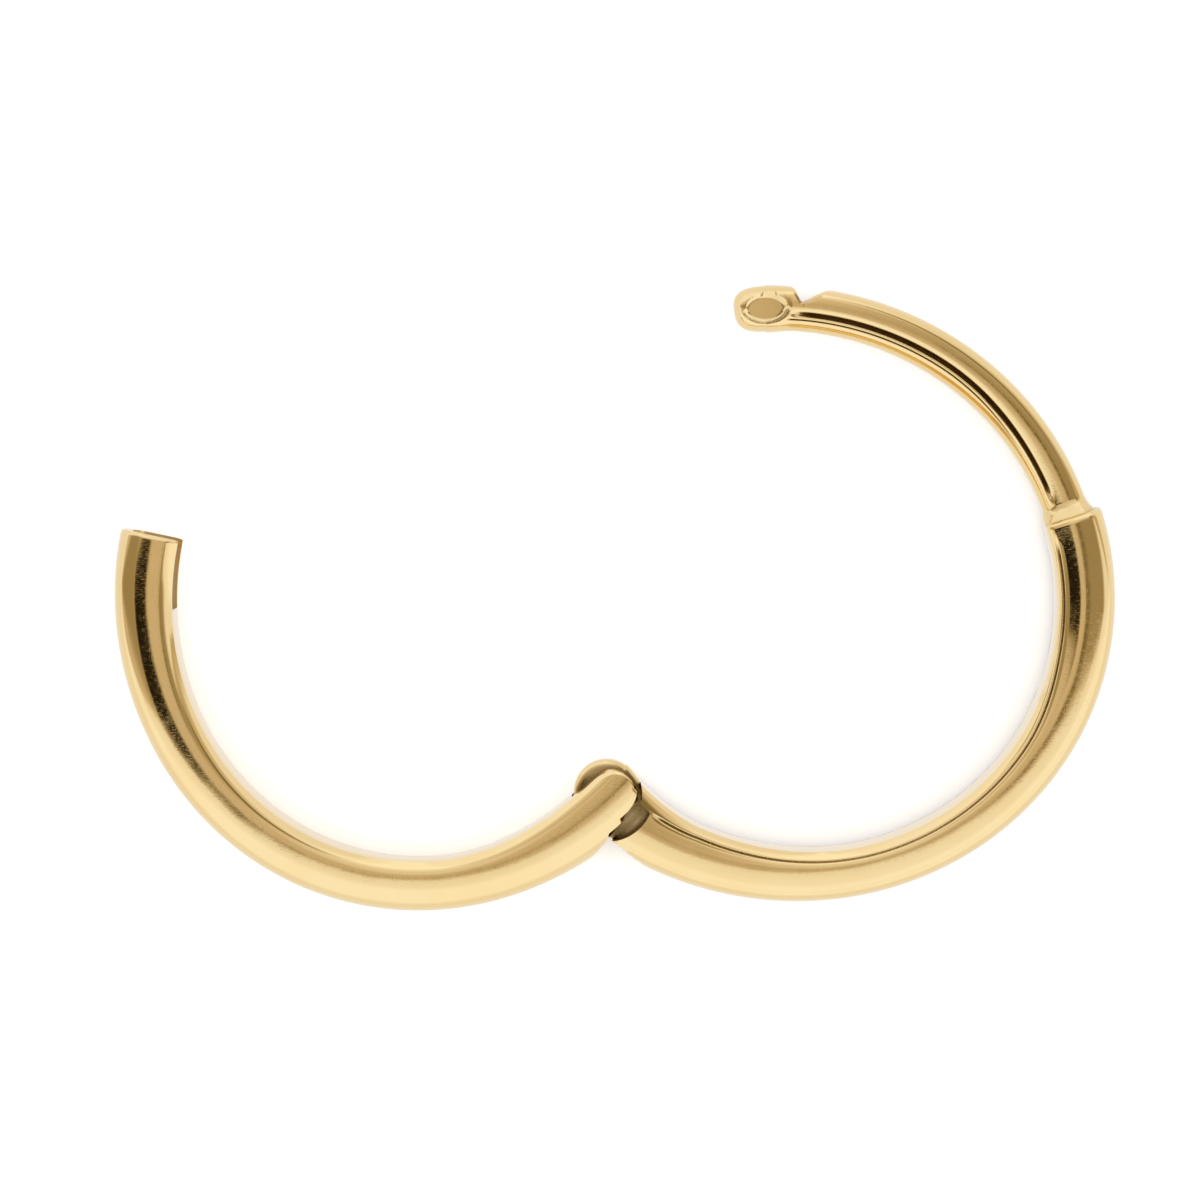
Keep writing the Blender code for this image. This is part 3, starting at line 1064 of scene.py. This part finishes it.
        # Each crowd's place and half width in degrees, and its strength
        crowds = [(shoulder + 1.5, 1.8, 8.0), (notch + 1.0, 3.0, 6.0), (tip - 6.0, 6.0, 4.0),
                  (tip - 1.0, 2.0, 4.0)]
        angles = graded(start + self.root_skip, tip - self.tip_skip, self.station_step, crowds)
        half = Metal("back_band").sweep(hoop, angles, self.knots(angles), self.solid)
        tools = Metal("tool")
        pocket = tools.plate("pocket", lambda plan: hoop.fork(plan, self.ear_room, self.pocket_limit),
                             -TOOL_OVERHANG, hoop.width + TOOL_OVERHANG)
        tools.change(half, pocket, Operation.CUT)
        floor, roof = (hoop.middle + side * hoop.tongue_width / 2 for side in (-1, 1))
        tongue = tools.plate("tongue", self.tongue, floor, roof, self.tongue_round)
        tools.change(half, tongue, Operation.JOIN)
        return [half]


@dataclass(frozen=True)
class FrontHalf:
    """Front band with its ears and its catch.

    Lengths are in millimetres and angles in degrees.
    """

    hoop: Hoop
    profile: Profile = Profile(half=0.9, rise=0.60, crease=0.09)
    ear_reach: float = 0.62
    swell: float = 0.06
    swell_span: float = 45.0
    rim: float = 0.09
    edge: float = 0.03
    ear_rim: float = 0.12
    ear_heel_rim: float = 0.04
    lip_height: float = 0.08
    lip_length: float = 0.26
    socket_end_gap: float = 0.14
    socket_rays: int = 25
    socket_rings: int = 60
    slot_limit: float = 0.15
    flank_start: float = 0.45
    bevel_margin: float = 0.05
    inner_margin: float = 0.10
    band_middle: float = 0.75
    mouth_pinch: float = 0.2
    ear_stretch: float = 1.135
    end_skip: float = 0.002
    station_step: float = 0.75

    @property
    def ear_run(self) -> float:
        """Reach of the ears past the axis, measured along the outermost line."""
        return self.ear_reach * self.ear_stretch

    def crown(self, angle: Array) -> Array:
        """Depth of the crown, which swells out over the catch."""
        return -self.swell * ease((self.hoop.mouth + self.swell_span - angle) / self.swell_span)

    def solid(self, angle: Array, depth: Array, height: Array) -> Array:
        """Field of the front band without its slot and channel.

        Args:
            angle: ring angles.
            depth: depths under the oval.
            height: heights over the surface.

        Returns:
            The field at each place.
        """
        hoop, lift = self.hoop, height - self.hoop.middle
        inner, crown = hoop.band_depth(np.minimum(angle, hoop.oval.hinge_angle)), self.crown(angle)
        body = self.profile.solid(depth - crown, lift, inner - crown)
        body = round_cut(body, -hoop.oval.run(angle, hoop.mouth), self.rim)
        plan = hoop.oval.plan(angle, depth)
        inward = hoop.oval.inward(hoop.oval.hinge_angle)
        across = depth - hoop.oval.hinge_depth + hoop.ear_shift
        ahead = (plan - hoop.ear_centre()) @ np.array([inward[1], -inward[0]])
        end = np.hypot(np.maximum(ahead, 0.0), across) - self.ear_reach + np.minimum(ahead, 0.0)
        rim = self.ear_heel_rim + (self.ear_rim - self.ear_heel_rim) * ease(across / hoop.ear_radius)
        body = round_cut(body, end, rim)
        return round_cut(body, hoop.heel(plan, hoop.front_heel, hoop.ear_heel()), self.edge)

    def knots(self, angle: Array) -> list[Array]:
        """Depths between which the flank's points are spread.

        Args:
            angle: ring angles of the stations.

        Returns:
            The depths at each station.
        """
        hoop, profile = self.hoop, self.profile
        inner = hoop.band_depth(np.minimum(angle, hoop.oval.hinge_angle))
        rim = inner - profile.bevel_run
        depths = [self.crown(angle) + self.flank_start, rim - self.bevel_margin, rim + self.bevel_margin,
                  inner - self.inner_margin]
        ears = hoop.oval.hinge_depth - hoop.ear_shift
        centre = np.where(angle > hoop.oval.hinge_angle, ears, self.band_middle)
        ahead = hoop.oval.run(angle, hoop.oval.hinge_angle) / self.ear_run
        pinch = self.mouth_pinch * ease(1 - hoop.oval.run(angle, hoop.mouth) / self.rim)
        full = np.sqrt(1 - np.clip(ahead, 0.0, 1.0) ** 2) * (1 - pinch)
        return [centre + (depth - centre) * full for depth in depths]

    def channel(self) -> bpy.types.Object:
        """Tool for the channel that takes the post's tip.

        Returns:
            The tool, in the closed position.
        """
        hoop, oval = self.hoop, self.hoop.oval
        lip_end = hoop.mouth + oval.turn_of(self.lip_length)
        bottom = hoop.tip + oval.turn_of(self.socket_end_gap)
        angles = np.linspace(hoop.mouth - oval.turn_of(TOOL_OVERHANG), bottom, self.socket_rings)
        lip = self.lip_height * np.clip((lip_end - angles) / (lip_end - hoop.mouth), 0.0, 1.0)
        crown = hoop.post_depth(angles) - hoop.socket_gap + lip
        turns = np.linspace(-np.pi / 2, np.pi / 2, self.socket_rays)
        half = hoop.post_width / 2 + hoop.socket_gap
        power = 2 / hoop.dome_power
        rise = hoop.post_dome * (1 - np.abs(np.cos(turns)) ** power)
        side = half * np.sign(turns) * np.abs(np.sin(turns)) ** power
        inner = hoop.at_catch + TOOL_OVERHANG
        depth = np.concatenate([crown[:, None] + rise[None, :], np.full((len(angles), 2), inner)], axis=1)
        height = hoop.middle + np.broadcast_to(np.concatenate([side, [half, -half]]), depth.shape)
        plan = oval.plan(np.broadcast_to(angles[:, None], depth.shape), depth)
        return Metal("channel").tube(np.concatenate([plan, height[..., None]], axis=-1))

    def build(self) -> list[bpy.types.Object]:
        """Make the front half in its open place.

        Returns:
            Its pieces.
        """
        hoop, oval = self.hoop, self.hoop.oval
        end = oval.hinge_angle + oval.turn_of(self.ear_run)
        # Each crowd's place and half width in degrees, and its strength
        crowds = [(hoop.mouth, 1.0, 10.0), (end - 0.5, 2.5, 8.0)]
        angles = graded(hoop.mouth + self.end_skip, end - self.end_skip, self.station_step, crowds)
        half = Metal("front_band").sweep(hoop, angles, self.knots(angles), self.solid)
        tools = Metal("tool")
        room = hoop.tongue_width / 2 + hoop.ear_gap
        near = hoop.knuckle_radius + hoop.ear_gap
        slot = tools.plate("slot", lambda plan: hoop.fork(plan, near, self.slot_limit), hoop.middle - room,
                           hoop.middle + room)
        hole = tools.drum("hole", hoop.pin_radius + hoop.pin_gap, -TOOL_OVERHANG,
                          hoop.width - hoop.pin_cover + hoop.pin_gap)
        tools.change(half, slot, Operation.CUT)
        tools.change(half, hole, Operation.CUT)
        tools.change(half, self.channel(), Operation.CUT)
        half.data.transform(Matrix.Rotation(radians(hoop.open_angle), 4, "Z"))
        return [half]


@dataclass(frozen=True)
class HingePin:
    """Plain pin, dressed flush with the underside."""

    hoop: Hoop
    rim: float = 0.03

    def build(self) -> list[bpy.types.Object]:
        """Make the pin.

        Returns:
            The pin alone.
        """
        hoop = self.hoop
        return [Metal("pin").drum("pin", hoop.pin_radius, 0.0, hoop.width - hoop.pin_cover, self.rim)]


@dataclass(frozen=True)
class Patch:
    """Soft-edged patch of the room. Its edges are spans of degrees over which it fades in or out."""

    amount: float
    left: Edge | None = None
    right: Edge | None = None
    bottom: Edge | None = None
    top: Edge | None = None
    corner: Edge | None = None

    def share(self, across: Link, along: Link) -> Link | float:
        """How much of the patch shows in each direction.

        Args:
            across: angle of the direction to the right.
            along: angle of the direction to the back.

        Returns:
            The amount inside the patch, 0 outside it.
        """
        share = self.amount
        for angle, start in ((across, self.left), (along, self.bottom)):
            share = angle.step(*start) * share if start else share
        for angle, end in ((across, self.right), (along, self.top), (across + along, self.corner)):
            share = (1 - angle.step(*end)) * share if end else share
        return share


@dataclass(frozen=True)
class Studio:
    """Pale floor, soft light and the camera."""

    view_centre: tuple[float, float] = (-0.146, 4.309)
    view_height: float = 0.9
    frame_width: float = 27.0
    distance: float = 112.0
    lean: float = 2.5
    sensor: float = 36.0
    clip: tuple[float, float] = (0.005, 5.0)
    floor_size: float = 900.0
    floor_level: float = -0.004
    floor_colour: Triple = (0.93, 0.925, 0.915)
    grain_colour: Triple = (0.95, 0.95, 0.945)
    room_colour: Triple = (1.8, 1.8, 1.82)
    tones: tuple[tuple[float, tuple[float, float, float, float]], ...] = (
        (0.0, (0.004, 0.002, 0.0, 1.0)), (0.28, (0.28, 0.215, 0.10, 1.0)),
        (0.60, (0.63, 0.53, 0.40, 1.0)), (1.0, (1.07, 1.08, 1.10, 1.0)))
    left_start: float = -3.0
    left_lean: float = 0.36
    front_edge: Edge = (-5.4, -3.4)
    front_fall: Edge = (-16.0, -4.0)
    front_level: float = 0.86
    front_gain: float = 0.12
    ground_edge: Edge = (-0.3, 0.4)
    ground_level: float = 0.86
    back_level: float = 0.60
    lights: tuple[Patch, ...] = (
        Patch(-0.26, left=(1.0, 7.0), bottom=(-14.0, -5.0), top=(5.0, 14.0)),
        Patch(-0.26, right=(-18.0, -10.0), bottom=(-14.0, -5.0), top=(5.0, 14.0)),
        Patch(0.50, left=(20.0, 42.0), top=(6.0, 14.0)),
        Patch(0.14, left=(-16.0, -6.0), right=(6.0, 16.0), bottom=(0.5, 5.0)),
        Patch(-0.10, left=(22.0, 32.0), bottom=(6.0, 14.0)),
        Patch(0.10, bottom=(14.0, 28.0)),
        Patch(0.24, bottom=(28.0, 44.0)))
    shades: tuple[Patch, ...] = (
        Patch(0.98, left=(-16.0, -12.0), right=(-4.2, -2.0), top=(-1.8, -0.1)),
        Patch(0.62, left=(8.0, 14.0), right=(28.0, 36.0), bottom=(7.0, 13.0), top=(26.0, 36.0),
              corner=(38.0, 50.0)),
        Patch(0.55, left=(3.0, 4.4), right=(5.0, 6.6), top=(-0.5, 1.2)))

    def floor(self) -> None:
        """Lay the floor."""
        half = self.floor_size / 2
        corners = [(x * half, y * half, self.floor_level) for x, y in ((-1, -1), (1, -1), (1, 1), (-1, 1))]
        item = Metal("floor").mesh_object(np.array(corners), [(0, 1, 2, 3)])
        material = bpy.data.materials.new("pale_floor")
        graph = Graph(material)
        place = graph.place()
        grain = graph.noise(place, 0.05, 2.0)
        shade = graph.blend(grain, (*self.floor_colour, 1.0), (*self.grain_colour, 1.0))
        shader = graph.node("ShaderNodeBsdfPrincipled", {}, {"Base Color": shade, "Roughness": 0.7})
        graph.node("ShaderNodeOutputMaterial", {}, {"Surface": shader})
        item.data.materials.append(material)
        item.visible_glossy = False

    def surroundings(self) -> None:
        """Soft pale room: a bright front, a dimmer back and dark patches where the metal mirrors them."""
        world = bpy.data.worlds.new("soft_room")
        bpy.context.scene.world = world
        graph = Graph(world)
        way = graph.node("ShaderNodeTexCoord", {}, {}, "Generated")
        axes = graph.node("ShaderNodeSeparateXYZ", {}, {0: way})
        x, y, z = (Link(graph, axes.socket.node.outputs[index]) for index in range(3))
        across, along = x.leaning(z), y.leaning(z)
        left = (self.left_start - across).at_least(0.0)
        sunk = along + left * self.left_lean
        front = 1 - sunk.step(*self.front_edge)
        glow = self.front_level + (1 - sunk.step(*self.front_fall)) * self.front_gain
        back = self.back_level
        for patch in self.lights:
            back = back + patch.share(across, along)
        for patch in self.shades:
            back = back * (1 - patch.share(across, along))
        ground = 1 - z.step(*self.ground_edge)
        level = (front * glow + (1 - front) * back) * (1 - ground) + ground * self.ground_level
        tone = graph.node("ShaderNodeValToRGB", {"stops": self.tones}, {0: level})
        path = graph.node("ShaderNodeLightPath", {}, {}, "Is Glossy Ray")
        tone = graph.blend(path, (*self.room_colour, 1.0), tone)
        light = graph.node("ShaderNodeBackground", {}, {"Color": tone, "Strength": 1.0})
        graph.node("ShaderNodeOutputWorld", {}, {"Surface": light})

    def camera(self) -> None:
        """Set the camera over the earring."""
        data = bpy.data.cameras.new("camera")
        data.sensor_width = self.sensor
        data.lens = data.sensor_width * self.distance / self.frame_width
        data.clip_start, data.clip_end = self.clip
        item = bpy.data.objects.new("camera", data)
        bpy.context.scene.collection.objects.link(item)
        lean = radians(self.lean)
        target = Vector((*self.view_centre, self.view_height)) * MILLIMETRE
        item.location = target + Vector((0.0, np.sin(lean), np.cos(lean))) * self.distance * MILLIMETRE
        item.rotation_euler = (-lean, 0.0, 0.0)
        bpy.context.scene.camera = item

    def build(self) -> None:
        """Make the floor, the surroundings and the camera."""
        self.floor()
        self.surroundings()
        self.camera()
        bpy.context.scene.view_settings.view_transform = "Standard"


def main() -> None:
    """Build the earring and its studio."""
    logging.basicConfig(level=logging.INFO, format="%(message)s")
    hoop = Hoop()
    # Both gold copies carry painted crevice shade; the front half's copy has it fainter and found only
    # against its own walls
    polished = PolishedGold("hand_polished_gold", Slot.POLISHED, crevice=0.42)
    faint_shade_gold = PolishedGold("polished_gold_faint_shade", Slot.POLISHED, crevice=1.5, own_walls=True, painted_crevice_shade=0.30,
                         crevice_haze=0.60)
    satin = PolishedGold("drawn_pin_gold", Slot.PIN, colour=(0.80, 0.60, 0.33), roughness=0.22)
    for piece in BackHalf(hoop).build():
        finish_piece(piece, polished, "back", "back_half")
    for piece in FrontHalf(hoop).build():
        finish_piece(piece, faint_shade_gold, "front", "front_half")
    for piece in HingePin(hoop).build():
        finish_piece(piece, satin, "front", "hinge_pin")
    Studio().build()


if __name__ == "__main__":
    main()
